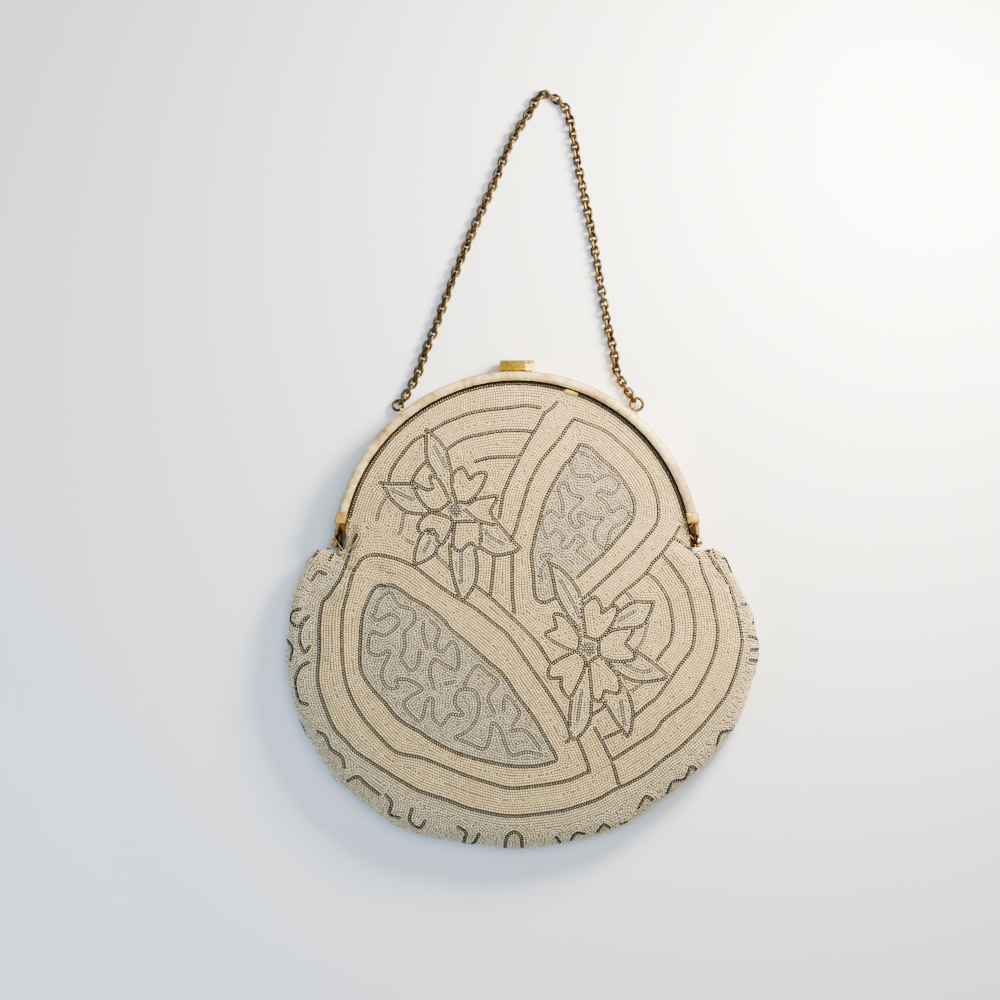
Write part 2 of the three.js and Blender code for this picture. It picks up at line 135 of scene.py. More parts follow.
def spanOf(tree, value, start=(0, 1), end=(0, 1)):
    given = {"Value": value, "From Min": start[0], "From Max": start[1], "To Min": end[0], "To Max": end[1]}
    return addNode(tree, "ShaderNodeMapRange", given).outputs[0]


def noiseOf(tree, place, **given):
    named = {key.capitalize(): value for key, value in given.items()}
    return addNode(tree, "ShaderNodeTexNoise", {"Vector": place, **named}).outputs["Fac"]


def placeOf(tree):
    return addNode(tree, "ShaderNodeTexCoord").outputs["Object"]


def partsOf(tree, vector):
    return addNode(tree, "ShaderNodeSeparateXYZ", {0: vector}).outputs


def addRelief(tree, shader, height, strength, distance):
    given = {"Height": height, "Strength": strength, "Distance": distance * mm}
    tree.links.new(addNode(tree, "ShaderNodeBump", given).outputs[0], shader.inputs["Normal"])


def makeGroup(name, inputs, outputs):
    group = bpy.data.node_groups.new(name, "ShaderNodeTree")
    kinds = {"value": "NodeSocketFloat", "colour": "NodeSocketColor"}
    for direction, sockets in (("INPUT", inputs), ("OUTPUT", outputs)):
        for socket, kind in sockets.items():
            group.interface.new_socket(name=socket, in_out=direction, socket_type=kinds[kind])
    return group, addNode(group, "NodeGroupInput").outputs, addNode(group, "NodeGroupOutput").inputs


def makeMaterial(name, plain):
    material = bpy.data.materials.new(name)
    material.use_nodes = True
    shader = material.node_tree.nodes["Principled BSDF"]
    for key, value in plain.items():
        shader.inputs[key].default_value = value
    return material, material.node_tree, shader


# Scattered lighter and darker glass, one tone for each bead, and painted light: a painted highlight on each
# bead's crown and painted shade on its rim.
def makeBeadGroup():
    group, given, made = makeGroup(
        "beadGlassAndPaintedLight",
        {
            "Dark": "colour", "Light": "colour", "Tone share": "value", "Painted light share": "value",
            "Painted light from": "value", "Rough low": "value", "Rough high": "value",
        },
        {"Colour": "colour", "Roughness": "value"},
    )
    tone = addNode(group, "ShaderNodeAttribute", attribute_name="tone").outputs["Fac"]
    # Painted light: the crown value makes each bead's top lighter as a painted highlight and its rim darker
    # as painted shade.
    crown_painted_light = addNode(group, "ShaderNodeAttribute", attribute_name="crown_painted_light").outputs["Fac"]
    byTone = mathOf(group, "MULTIPLY", tone, given["Tone share"])
    shine = spanOf(group, crown_painted_light, (given["Painted light from"], 0.85))
    share = mathOf(group, "MULTIPLY_ADD", shine, given["Painted light share"], byTone, use_clamp=True)
    group.links.new(mixOf(group, share, given["Dark"], given["Light"]), made["Colour"])
    rough = spanOf(group, tone, end=(given["Rough low"], given["Rough high"]))
    group.links.new(rough, made["Roughness"])
    return group


# Rubbed metal: bright where it is worn, darker in patches, with fine scratches.
def makeMetalGroup():
    group, given, made = makeGroup(
        "rubbedMetal",
        {
            "Bright": "colour", "Dull": "colour", "Patch size": "value",
            "Rough low": "value", "Rough high": "value",
        },
        {"Colour": "colour", "Roughness": "value", "Scratches": "value"},
    )
    place = placeOf(group)
    patches = noiseOf(group, place, scale=given["Patch size"], detail=6, roughness=0.65)
    soft = spanOf(group, patches, (0.36, 0.66))
    group.links.new(mixOf(group, soft, given["Bright"], given["Dull"]), made["Colour"])
    rough = spanOf(group, soft, end=(given["Rough low"], given["Rough high"]))
    group.links.new(rough, made["Roughness"])
    stretched = addNode(group, "ShaderNodeMapping", {"Vector": place, "Scale": (900, 5200, 2600)})
    group.links.new(noiseOf(group, stretched.outputs[0], scale=1, detail=3), made["Scratches"])
    return group


beadGroup = makeBeadGroup()
metalGroup = makeMetalGroup()


# A material whose colour and roughness come from one of the two groups.
def groupMaterial(name, group, look, plain):
    material, tree, shader = makeMaterial(name, plain)
    finish = addNode(tree, "ShaderNodeGroup", node_tree=group)
    for key, value in look.items():
        finish.inputs[key].default_value = value
    tree.links.new(finish.outputs["Colour"], shader.inputs["Base Color"])
    tree.links.new(finish.outputs["Roughness"], shader.inputs["Roughness"])
    return material, tree, shader, finish


def metalMaterial(name, look):
    material, tree, shader, finish = groupMaterial(name, metalGroup, look, {"Metallic": 1.0})
    addRelief(tree, shader, finish.outputs["Scratches"], 0.25, 0.02)
    return material, tree, shader


# Bead colours. Single beads vary at random between dark and light, and each bead has a painted highlight on
# its crown and painted shade on its rim.
beadLooks = {
    "ivory": {
        "Dark": (0.52, 0.34, 0.13, 1), "Light": (0.90, 0.71, 0.35, 1),
        "Tone share": 0.7, "Painted light share": 0.4, "Painted light from": 0.0, "Rough low": 0.22, "Rough high": 0.38,
    },
    "pale": {
        "Dark": (0.44, 0.33, 0.16, 1), "Light": (0.84, 0.71, 0.42, 1),
        "Tone share": 0.65, "Painted light share": 0.4, "Painted light from": 0.0, "Rough low": 0.16, "Rough high": 0.3,
    },
    "clear": {
        "Dark": (0.20, 0.165, 0.09, 1), "Light": (0.68, 0.61, 0.40, 1),
        "Tone share": 0.65, "Painted light share": 0.45, "Painted light from": 0.0, "Rough low": 0.12, "Rough high": 0.26,
    },
    # Silver and steel beads are mostly painted light: a near black rim of painted shade and a bright painted
    # highlight on the crown.
    "silver": {
        "Dark": (0.003, 0.0015, 0.0007, 1), "Light": (1.0, 0.93, 0.74, 1),
        "Tone share": 0.02, "Painted light share": 1.0, "Painted light from": 0.68, "Rough low": 0.45, "Rough high": 0.65,
    },
    "steel": {
        "Dark": (0.01, 0.007, 0.004, 1), "Light": (1.0, 0.95, 0.82, 1),
        "Tone share": 0.08, "Painted light share": 1.0, "Painted light from": 0.55, "Rough low": 0.4, "Rough high": 0.6,
    },
}
beadShine = {
    "ivory": {"Coat Weight": 0.15, "Coat Roughness": 0.12},
    "pale": {"Coat Weight": 0.25, "Coat Roughness": 0.1},
    "clear": {"Coat Weight": 0.35, "Coat Roughness": 0.08},
    "silver": {"Specular IOR Level": 0.04},
    "steel": {"Specular IOR Level": 0.06},
}
beadFinish = {}
for name, look in beadLooks.items():
    beadFinish[name] = groupMaterial("bead_" + name, beadGroup, look, beadShine[name])[0]

giltLook = {
    "Bright": (0.72, 0.46, 0.16, 1), "Dull": (0.24, 0.13, 0.04, 1),
    "Patch size": 160, "Rough low": 0.18, "Rough high": 0.42,
}
claspLook = {
    "Bright": (1.0, 0.80, 0.06, 1), "Dull": (0.92, 0.66, 0.03, 1),
    "Patch size": 420, "Rough low": 0.16, "Rough high": 0.34,
}
clipLook = {
    "Bright": (0.95, 0.56, 0.10, 1), "Dull": (0.50, 0.24, 0.04, 1),
    "Patch size": 380, "Rough low": 0.16, "Rough high": 0.36,
}
brassLook = {
    "Bright": (0.17, 0.105, 0.038, 1), "Dull": (0.018, 0.010, 0.004, 1),
    "Patch size": 330, "Rough low": 0.3, "Rough high": 0.55,
}


# The frame's gilt, with painted shade: near black inside a radius, where the flange lies in the shadow
# between the cover and the beads, and a little further out on the hinge legs. Lengths in mm.
def makeGilt():
    paintedShade = {"radius": 77.4, "soft": 0.5, "legs": 18.0, "legEdge": 2.4, "colour": (0.05, 0.02, 0.006, 1)}
    material, tree, shader = metalMaterial("gilt_metal", giltLook)
    place = placeOf(tree)
    flat = addNode(tree, "ShaderNodeVectorMath", {0: place, 1: (1, 1, 0)}, operation="MULTIPLY")
    radius = addNode(tree, "ShaderNodeVectorMath", {0: flat.outputs[0]}, operation="LENGTH").outputs["Value"]
    legs = mathOf(tree, "LESS_THAN", partsOf(tree, place)["Y"], paintedShade["legs"] * mm)
    inward = mathOf(tree, "MULTIPLY_ADD", legs, -paintedShade["legEdge"] * mm, radius)
    edge = paintedShade["radius"] * mm
    # Painted shade mask: 0 gives the near black shade colour, 1 the metal.
    mask = spanOf(tree, inward, (edge - paintedShade["soft"] * mm, edge))
    metal = shader.inputs["Base Color"].links[0].from_socket
    tree.links.new(mixOf(tree, mask, paintedShade["colour"], metal), shader.inputs["Base Color"])
    return material


gilt = makeGilt()
chainBrass = metalMaterial("chain_brass", brassLook)[0]


# The clasp's front is cut with fine slanting lines that meet in chevrons. Depth and turn in mm.
def makeClaspGilt():
    cut = {"lines": 6200, "depth": 0.2, "turn": 3.5, "facing": 0.9}
    material, tree, shader = metalMaterial("clasp_gilt", claspLook)
    parts = partsOf(tree, placeOf(tree))
    across = mathOf(tree, "ABSOLUTE", mathOf(tree, "SUBTRACT", parts["X"], cut["turn"] * mm))
    slant = mathOf(tree, "ADD", across, parts["Y"])
    ridge = mathOf(tree, "SINE", mathOf(tree, "MULTIPLY", slant, cut["lines"]))
    facing = partsOf(tree, addNode(tree, "ShaderNodeNewGeometry").outputs["True Normal"])["Z"]
    front = mathOf(tree, "GREATER_THAN", facing, cut["facing"])
    addRelief(tree, shader, mathOf(tree, "MULTIPLY", ridge, front), 0.9, cut["depth"])
    return material


claspGilt = makeClaspGilt()
clipGilt = metalMaterial("clip_gilt", clipLook)[0]


# Marbled ivory celluloid, paler along soft streaks.
def makeIvoryCover():
    look = {"cream": (0.50, 0.29, 0.09, 1), "pale": (0.84, 0.66, 0.25, 1), "tan": (0.20, 0.095, 0.025, 1)}
    material, tree, shader = makeMaterial("ivory_cover", {"Coat Weight": 0.25, "Coat Roughness": 0.08})
    place = placeOf(tree)
    streaks = noiseOf(tree, place, scale=55, detail=4, distortion=1.6)
    clouds = noiseOf(tree, place, scale=210, detail=5, distortion=2.2)
    first = mixOf(tree, spanOf(tree, streaks, (0.42, 0.6)), look["cream"], look["pale"])
    spots = spanOf(tree, clouds, (0.48, 0.7), (0, 0.75))
    tree.links.new(mixOf(tree, spots, first, look["tan"]), shader.inputs["Base Color"])
    tree.links.new(spanOf(tree, clouds, end=(0.16, 0.34)), shader.inputs["Roughness"])
    addRelief(tree, shader, clouds, 0.2, 0.05)
    return material


ivoryCover = makeIvoryCover()


# Fine silk cloth under the beads.
def makeCloth():
    look = {"thread": (0.46, 0.32, 0.15, 1), "gap": (0.28, 0.18, 0.07, 1), "threads": 9000}
    material, tree, shader = makeMaterial("silk_cloth", {"Sheen Weight": 0.3, "Roughness": 0.75})
    parts = partsOf(tree, placeOf(tree))
    threads = [mathOf(tree, "SINE", mathOf(tree, "MULTIPLY", parts[axis], look["threads"])) for axis in "XY"]
    weave = mathOf(tree, "MULTIPLY", *threads)
    share = spanOf(tree, weave, (-1, 1))
    tree.links.new(mixOf(tree, share, look["gap"], look["thread"]), shader.inputs["Base Color"])
    addRelief(tree, shader, weave, 0.5, 0.1)
    return material


silkCloth = makeCloth()
print("materials made")


# The bag's cloth: a copy of the CAD bag, drawn in by the height of the beads, smoothed and folded.
clothPlan = {
    "inset": 0.8, "core": (0, -40, 7.5), "levels": 1, "foldFrom": 9.0, "foldTo": 13.0,
    "sideways": (-2, -10), "flat": 0.75, "tall": 4,
    # (from x, y, to x, y, width, lift) in mm
    "folds": [
        (-68, 2, -78, -16, 4.0, 2.0), (-78, -16, -83, -42, 4.2, 1.8), (-63, -6, -72, -20, 3.6, -2.0),
        (-72, -20, -74.5, -46, 3.6, -2.2), (-58, 3, -60, -14, 4.0, 0.7), (-88, -8, -94, -30, 4.0, -0.8),
        (80, 3, 88, -12, 3.6, -1.5), (72, 0, 80, -14, 4.0, 1.2), (62, 0, 66, -12, 3.5, -1.2),
        (92, -12, 98, -34, 4.0, -1.2),
    ],
    # (x, y, reach, outward) in mm, where the lower edge swells
    "swells": [(-46, -121, 20, 2.4), (42, -121, 18, 1.3), (0, -128, 20, 1.0)],
    "middle": (0, -38),
}


def foldHeight(x, y):
    lift = np.zeros_like(x)
    for fromX, fromY, toX, toY, width, height in clothPlan["folds"]:
        run = np.array([toX - fromX, toY - fromY])
        share = np.clip(((x - fromX) * run[0] + (y - fromY) * run[1]) / (run @ run), 0, 1)
        distance = np.hypot(x - fromX - share * run[0], y - fromY - share * run[1])
        lift += height * np.exp(-((distance / width) ** 2))
    return lift


def swell(co):
    out = co[:, :2] - clothPlan["middle"]
    out /= np.linalg.norm(out, axis=1)[:, None] + 1e-9
    for x, y, reach, outward in clothPlan["swells"]:
        near = np.exp(-((co[:, 0] - x) ** 2 + (co[:, 1] - y) ** 2) / reach**2)
        co[:, :2] += out * (near * outward)[:, None]


def makeBag():
    form = bmesh.new()
    form.from_mesh(nodes["bag_body"].data)
    bmesh.ops.remove_doubles(form, verts=form.verts, dist=1e-6)
    bmesh.ops.join_triangles(form, faces=form.faces, angle_face_threshold=0.7, angle_shape_threshold=1.2)
    form.normal_update()
    core = Vector(clothPlan["core"]) * mm
    near, full = [height * mm for height in clothPlan["sideways"]]
    moves = []
    for vert in form.verts:
        outward = vert.co - core
        outward.z *= clothPlan["tall"]
        if vert.normal.dot(outward) > 0:
            steep = abs(vert.normal.z) < clothPlan["flat"]
            sideways = float(smoothstep(near, full, vert.co.y)) if steep else 0
            move = vert.normal * clothPlan["inset"] * mm
            moves.append((vert, Vector((move.x * sideways, move.y * sideways, move.z))))
    for vert, move in moves:
        vert.co -= move
    mesh = bpy.data.meshes.new("bag_cloth")
    form.to_mesh(mesh)
    form.free()
    piece = addPiece("bag_cloth", mesh)
    rounding = piece.modifiers.new("rounding", "SUBSURF")
    rounding.levels = rounding.render_levels = clothPlan["levels"]
    bakeModifiers(piece)
    co = np.empty(len(piece.data.vertices) * 3, np.float32)
    piece.data.vertices.foreach_get("co", co)
    co = co.reshape(-1, 3) / mm
    front = smoothstep(clothPlan["foldFrom"], clothPlan["foldTo"], co[:, 2])
    co[:, 2] += front * foldHeight(co[:, 0], co[:, 1])
    swell(co)
    piece.data.vertices.foreach_set("co", (co * mm).ravel())
    piece.data.shade_smooth()
    piece.data.materials.clear()
    piece.data.materials.append(silkCloth)
    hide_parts("bag_body")
    return piece


bagCloth = makeBag()
clothTree = BVHTree.FromObject(bagCloth, bpy.context.evaluated_depsgraph_get())
print("bag cloth made:", len(bagCloth.data.polygons), "faces")


# Gussets: the strip of cloth beside each hinge that carries the gathered beads. Lengths in mm.
gussetPlan = {
    "inner": 66.5, "outer": 74.0, "low": 2.4, "high": 14.0, "from": 67.8, "to": 73.0,
    "least": 10.3, "under": 0.1, "slope": 0.3,
}
skyLevel = 60  # in mm, well above the purse, where rays start


def gussetLevel(x, y):
    heights = []
    for across in (gussetPlan["inner"], gussetPlan["outer"]):
        start = Vector((math.copysign(across, x), y, skyLevel)) * mm
        hit = clothTree.ray_cast(start, Vector((0, 0, -1)))[0]
        least = gussetPlan["least"]
        heights.append(max(hit.z / mm, least) if hit else least)
    share = smoothstep(gussetPlan["from"], gussetPlan["to"], abs(x))
    return heights[0] * (1 - share) + heights[1] * share


def onGusset(x, y):
    return gussetPlan["inner"] < abs(x) < gussetPlan["outer"] and gussetPlan["low"] < y < gussetPlan["high"]


def makeGussets():
    plan = gussetPlan
    form = bmesh.new()
    for side in (-1, 1):
        middle = Vector((side * (plan["inner"] + plan["outer"]) / 2, (plan["low"] + plan["high"]) / 2, 0))
        size = Matrix.Diagonal(((plan["outer"] - plan["inner"]) / 2, (plan["high"] - plan["low"]) / 2, 1, 1))
        place = Matrix.Translation(middle) @ size
        grid = bmesh.ops.create_grid(form, x_segments=10, y_segments=12, size=1, matrix=place)
        for vert in grid["verts"]:
            vert.co.z = gussetLevel(vert.co.x, vert.co.y) - plan["under"]
    bmesh.ops.transform(form, matrix=Matrix.Scale(mm, 4), verts=form.verts)
    mesh = bpy.data.meshes.new("hinge_gussets")
    form.to_mesh(mesh)
    form.free()
    mesh.shade_smooth()
    mesh.materials.append(silkCloth)
    addPiece("hinge_gussets", mesh)


makeGussets()


# Beads. Pitch, the lowest middle and raised, a bead's height above the cloth, are in mm. Wide is its size
# along its row, across it and upwards, as shares of the pitch. A mesh holds at most so many beads.
beadPlan = {
    "pitch": {"front": 1.1, "back": 1.27}, "most": 9600, "lowest": 0.8,
    "wide": {"silver": (1.02, 1.52, 0.95), "steel": (1.0, 1.32, 0.9)}, "plain": (1.1, 0.98, 0.86),
    "raised": {"silver": 0.5, "steel": 0.44}, "plainRaised": 0.36,
    "jitter": 0.035, "mostJitter": 0.08, "tones": (2.2, 1.8), "facing": 0.6,
}


# The bead chart. One square is 0.44 mm, counted from the chart's upper left corner. A line of the chart
# goes on in the next string where no comma ends it.
chart = {"square": 0.44, "across": 517, "down": 555}


def chartPoints(text):
    pairs = np.array([[float(n) for n in pair.split(",")] for pair in text.split()])
    return (pairs - [chart["across"], chart["down"]]) * [chart["square"], -chart["square"]]


# Lines of dark silver beads that draw the pattern.
silverChart = [
    "540,408 525,406 510,408 490,410 470,413.5 455,419 445,423 435,429 430,432",
    "423,436 415,440 408,447 402,455 396,463 391,472 389,480",
    "395,484 412,484",
    "531,432 520,431 500,431.5 480,435 470,437 460,441 452,446 447,450",
    "425,463 420,468 415,475 412,482",
    "475,462 490,458 518,457",
    "557,402 552,408 545,413 541,420 536,429 529,440 524,449 519,458 515,467 510,477 506,487 503,494 "
    "501,505 499,518",
    "574,419 566,429 561,437 550,450 541,461 537,468 529,484 524,500 522,507 519,516 515,531 510,541",
    "574,419 580,421 590,425 600,429 610,435 620,444 630,453 642,467 648,475 652,484 657,500 658,516 "
    "656,523 652,530 640,544 633,552 618,566 603,580 590,592 581,600",
    "579,445 571,458 565,464 557,477 553,484 545,500 540,517 535,535 533,545 531,555 533,575 534,592 "
    "537,600 545,602 556,597",
    "579,445 588,447 594,452 600,458 609,466 617,474 627,488 633,500 634,508 633,516 630,523 618,537 "
    "604,553 590,565 577,577",
    "679,527 671,540 660,555 652,563 646,572 633,584 625,590 617,597 612,603",
    "647,574 655,580 661,588 666,596 669,604 672,622 672,630 669,643 663,650 656,660",
    "661,555 668,562 675,571 681,580 687,590 692,610 694,625 693,640 690,650 678,666 672,675 661,690 "
    "655,698 648,703 640,710 631,718",
    "672,538 678,541 685,546 692,552 698,558 700,565 703,575 710,592 714,612 717,632 714,652 707,670 "
    "696,690 690,698 672,712 662,720 653,732 635,744 615,757 611,760",
    "700,540 715,565 728,583 731,590 737,612 741,635 741,645 737,665 733,678 728,690 722,700 705,721 "
    "697,730 678,748 665,757 645,773 625,784 617,787 600,797 590,801 575,806 560,810 530,814 515,815 "
    "500,814 480,810 465,806 450,800 420,790 405,782 390,773 365,757 355,750 345,739 335,728 326,708 "
    "320,690 318,675 320,650 320,625 323,603 329,596 335,587 341,578 345,568 349,558 352,548 357,535",
    "361,560 365,557 372,555 380,555 390,557 400,560 415,567 428,577 444,589 460,599 475,608 495,624 "
    "505,632 514,643 532,669 550,695 565,720 571,738",
    "361,560 353,574 348,592 343,612 342,640 344,670 350,693 362,715 378,734 392,748 402,753 422,757 "
    "445,766 468,775 490,782 510,787 535,785 565,780 585,772 589,770 583,752 577,738",
    "375,588 381,585 390,585 398,588 412,598 428,607 444,620 450,628 467,642 487,660 503,674 517,695 "
    "533,716 548,742 556,757 552,761 535,765 512,765 490,761 470,756 450,749 430,738 420,731 400,719 "
    "385,702 370,685 361,668 361,640 363,615 370,596 375,588",
    "476,586 490,597 505,611 521,626 537,643 547,658 550,663",
    "512,555 512,590 514,612",
    "494,557 492,580 490,596",
    "591,714 602,707 605,700",
    "594,727 600,738 611,760 618,783",
    "604,737 620,730",
]

# Petals and leaves, each as its two edges from one end to the other, and a leaf's vein after them.
petalChart = [
    "456,502 452,485 453,475 462,468 470,480|456,502 468,502 480,490 486,474 476,474 470,480",
    "440,510 430,510 420,500 413,484 427,490 433,488|440,510 450,502 449,500 440,482 430,476 433,488",
    "468,505 475,500 485,498 497,497 490,511|465,510 477,520 485,523 495,524 490,511",
    "455,522 453,545 460,551 467,545 472,543|455,522 477,522 480,530 481,540 478,549 472,543",
    "430,512 421,520 418,528 422,534 427,530 434,530|430,512 452,520 447,537 440,545 434,530",
    "585,636 582,612 583,605 594,597 601,607 601,613|585,636 597,639 610,626 617,611 613,605 601,613",
    "598,641 612,630 632,629 625,643|598,641 600,656 618,661 635,657 625,643",
    "588,662 590,680 592,697 600,700 604,690|588,662 599,657 617,675 618,692 604,690",
    "576,650 558,659 549,667 549,677 561,677|576,650 585,662 577,684 569,697 561,687 561,677",
    "580,637 566,618 554,614 556,628|580,637 576,650 560,645 545,634 556,628",
]
leafChart = [
    "426,430 426,440 427,460 436,476 450,500|426,430 438,440 447,455 453,485 452,495|434,446 443,462 "
    "446,468",
    "380,483 390,484 412,484 417,488|380,483 386,490 392,500 407,512 425,514 433,512|392,490 400,494 "
    "413,500",
    "438,536 424,533 416,548 414,563|438,536 438,545 434,555 420,563 414,563|430,540 424,552",
    "461,600 455,583 451,565 450,545|461,600 466,597 475,583 477,565 474,545|461,553 461,582",
    "520,548 510,538 497,523|520,548 513,552 495,555 480,547|485,530 490,537 503,544",
    "549,563 553,580 557,597 568,616 580,630|549,563 560,569 572,582 579,595 582,622|560,580 571,600 "
    "579,617",
    "653,602 642,602 632,602 617,612|653,602 649,613 640,626 614,628|618,620 634,611",
    "667,675 650,661 636,651|667,675 660,679 638,681 620,674 608,661|624,664 640,671 650,670",
    "627,736 615,720 606,705|627,736 630,730 632,710 627,691|620,700 624,724",
    "566,741 570,735 569,717 571,697|566,741 579,735 589,720 591,700|581,690 577,720",
]
twigChart = [
    "388,494 380,508 377,520", "404,513 401,530 399,534", "406,540 416,545", "437,556 449,568",
    "478,527 481,545",
    "626,592 633,602", "647,622 642,640 634,650", "618,680 628,691 642,682",
]

# Loose meanders of clear beads inside the two lobes.
meanderChart = [
    "577,452 592,458 599,468",
    "572,460 570,466 576,476 590,476 593,482 600,478 610,475 619,484 612,494 600,491 597,496 605,503 "
    "611,512 621,507 629,514 622,523 611,529 607,543 603,549 594,540 596,526 603,519 592,518 580,513 "
    "578,519 583,524 574,527 569,515 579,503 582,498 570,494 566,484 561,484 558,489 562,505 561,518 "
    "551,511 543,517 541,525 547,538 555,530 563,538 560,546 568,547 576,536 585,543 577,550 588,560",
    "545,562 541,556 551,556 540,570 541,580",
    "375,613 380,600 390,592 399,605 413,610 414,622 405,632 405,647 401,657",
    "372,615 378,620 391,614 399,623 385,635 372,632 369,650 378,655 390,651 382,672 387,686 398,687 "
    "396,680 408,679 422,688 410,696 404,705 420,720 427,700 433,699 433,716 442,724 450,714 463,714 "
    "455,703 459,690 474,690 479,704 475,721 466,731 455,737 466,741 484,748 490,735 492,722 500,729 "
    "510,753 526,751 541,754",
    "510,730 525,730 540,748", "512,725 519,711 506,695 503,710",
    "494,712 488,696 498,682 488,673 478,665 470,673 464,685",
    "420,650 418,664 411,670 402,660",
    "430,620 439,630 435,646 443,651 452,641 458,652 457,669 444,664 434,659 430,672 434,688",
    "424,622 423,632 427,648", "445,683 455,681",
]
# Silver loops along the bag's edge.
loopChart = [
    "300,609 293,612 292,622 299,626 305,618", "309,616 302,626 300,640 305,652 310,646",
    "309,662 300,668 296,682 300,700 308,704",
    "288,640 293,648 291,660", "318,731 326,736 331,748 342,756 345,767", "348,780 358,776 366,783 380,794",
    "386,794 392,802 390,813 400,817",
    "412,808 410,820 420,827 425,820", "458,826 466,832 464,842 474,842 479,833",
    "505,846 507,836 514,831 521,836 522,846",
    "556,836 560,842", "571,839 576,832 584,833", "597,831 603,824 609,827", "621,823 626,821",
    "638,807 645,796 652,799",
    "667,792 672,781 684,778 690,766 695,769", "716,744 720,733 730,730 735,727",
    "741,604 749,606 754,614 752,624", "748,636 757,640 759,649 750,650",
    "749,660 757,661 759,654", "754,671 757,679", "703,546 712,550 716,558 724,561 730,572",
    "315,556 320,549 319,544",
    "330,560 334,553 340,556", "312,580 318,572 326,574", "296,720 304,726 306,738",
    "325,775 334,780 338,790",
]

# Round clusters of beads in the middle of the flowers, as rings of so many beads at a radius in mm.
clusterChart = "455,510 588,648"
clusterRings = [(1, 0), (6, 1.25), (12, 2.5)]


# Where the beads go is worked out in mm on the bag's flattened skin. Past the edge band the skin is as
# seen from above. Inside the band it is unrolled, so that rows keep their distance down to the side seam.
bandFront = {"in": [0, 0, 1.65, 5.5], "run": [0, 2.0, 5.4, 10.2], "level": [6.5, 8.2, 11.0, 13.6]}
bandBack = {"in": [0, 0, 1.65, 5.5], "run": [0, 1.9, 5.1, 9.4], "level": [6.5, 4.9, 2.4, 0.8]}
archRow = {"radius": 75.35, "foot": 17.0}

# The outline is found by rays from all round, which start out metres from the centre. Turns in degrees.
rimPlan = {"centre": (0, -38, 6.4), "turns": (25.5, -205.5), "rays": 700, "each": 6, "step": 0.5, "out": 0.2}
# Beside the right hinge, from the arch's foot down to the shoulder.
hingeSide = [(74.3, 12), (74.8, 3)]


def findRim():
    points = []
    centre = Vector(rimPlan["centre"]) * mm
    for turn in np.radians(np.linspace(*rimPlan["turns"], rimPlan["rays"])):
        way = Vector((math.cos(turn), math.sin(turn), 0))
        hit = clothTree.ray_cast(centre + way * rimPlan["out"], -way)[0]
        if hit:
            points.append((hit.x / mm, hit.y / mm))
    points = smoothLine(np.array(points)[::rimPlan["each"]], rimPlan["step"])
    tangent = np.gradient(points, axis=0)
    tangent /= np.linalg.norm(tangent, axis=1)[:, None]
    return points, np.stack([-tangent[:, 1], tangent[:, 0]], axis=1)


def makeTree(points):
    tree = KDTree(len(points))
    for i, point in enumerate(points):
        tree.insert((point[0], point[1], 0), i)
    tree.balance()
    return tree


def insideOf(points, polygon):
    x, y = points[:, 0], points[:, 1]
    inside = np.zeros(len(points), bool)
    for (ax, ay), (bx, by) in zip(polygon, np.roll(polygon, -1, axis=0)):
        if ay != by:
            crosses = (ay > y) != (by > y)
            inside ^= crosses & (x < (bx - ax) * (y - ay) / (by - ay) + ax)
    return inside


rimPoints, rimNormals = findRim()
if rimNormals[len(rimNormals) // 2][1] > 0:
    rimNormals = -rimNormals
rimTree = makeTree(rimPoints)
rimShare = smoothstep(1, -12, rimPoints[:, 1])
print("edge found:", len(rimPoints), "points")


def nearRim(point):
    _, index, _ = rimTree.find((point[0], point[1], 0))
    return rimPoints[index], rimNormals[index], rimShare[index]


def unroll(points, band):
    full = band["run"][-1] - band["in"][-1]
    made = []
    for point in points:
        edge, out, share = nearRim(point)
        depth = max(-(point - edge) @ out, 0)
        if depth < band["in"][-1]:
            run = np.interp(depth, band["in"][1:], band["run"][1:])
            point = point + out * share * (full - run + depth)
        made.append(point)
    return np.array(made)


# Back from the flattened skin to a first place near the cloth: x, y and, inside the band, a level.
def rollUp(point, band):
    full = band["run"][-1] - band["in"][-1]
    edge, out, share = nearRim(point)
    depth = -(point - edge) @ out
    run = full * share + depth
    reach = band["run"][-1]
    shown = reach - full * (1 - share)
    if share < 0.02 or run >= shown or depth > reach:
        return point, None
    run = np.interp(run, [0, shown], [0, reach]) if share < 1 else run
    back = np.interp(run, band["run"], band["in"])
    return edge - out * back, float(np.interp(run, band["run"], band["level"]))


# A bead's place on the cloth, and the way it faces.
missLevel = {"front": 11, "back": 3}  # in mm, where a ray finds no cloth


def settle(point, band, front):
    (x, y), level = rollUp(point, band)
    if front and onGusset(x, y):
        level = gussetLevel(x, y)
        step = gussetPlan["slope"]
        rise = (gussetLevel(x + step, y) - level, gussetLevel(x, y + step) - level, 0)
        slope = Vector(rise) / step
        return Vector((x, y, level)) * mm, Vector((-slope.x, -slope.y, 1)).normalized()
    if level is None:
        start = Vector((x, y, skyLevel if front else -skyLevel)) * mm
        hit, normal, _, _ = clothTree.ray_cast(start, Vector((0, 0, -1 if front else 1)))
        if hit:
            return hit, normal
        level = missLevel["front" if front else "back"]
    hit, normal, _, _ = clothTree.find_nearest(Vector((x, y, level)) * mm)
    return hit, normal


# The skin's edge on the flattened side, from hinge to hinge and back over the arch.
def skinEdge(band):
    full = band["run"][-1] - band["in"][-1]
    lower = rimPoints + rimNormals * (rimShare * full)[:, None]
    foot = math.asin(archRow["foot"] / archRow["radius"])
    turns = np.linspace(math.pi - foot, foot, 160)
    arch = np.stack([np.cos(turns), np.sin(turns)], axis=1) * archRow["radius"]
    if lower[0][0] < 0:
        lower = lower[::-1]
    left = [(-x, y) for x, y in hingeSide[::-1]]
    return arch, lower, np.vstack([arch, hingeSide, lower, left])


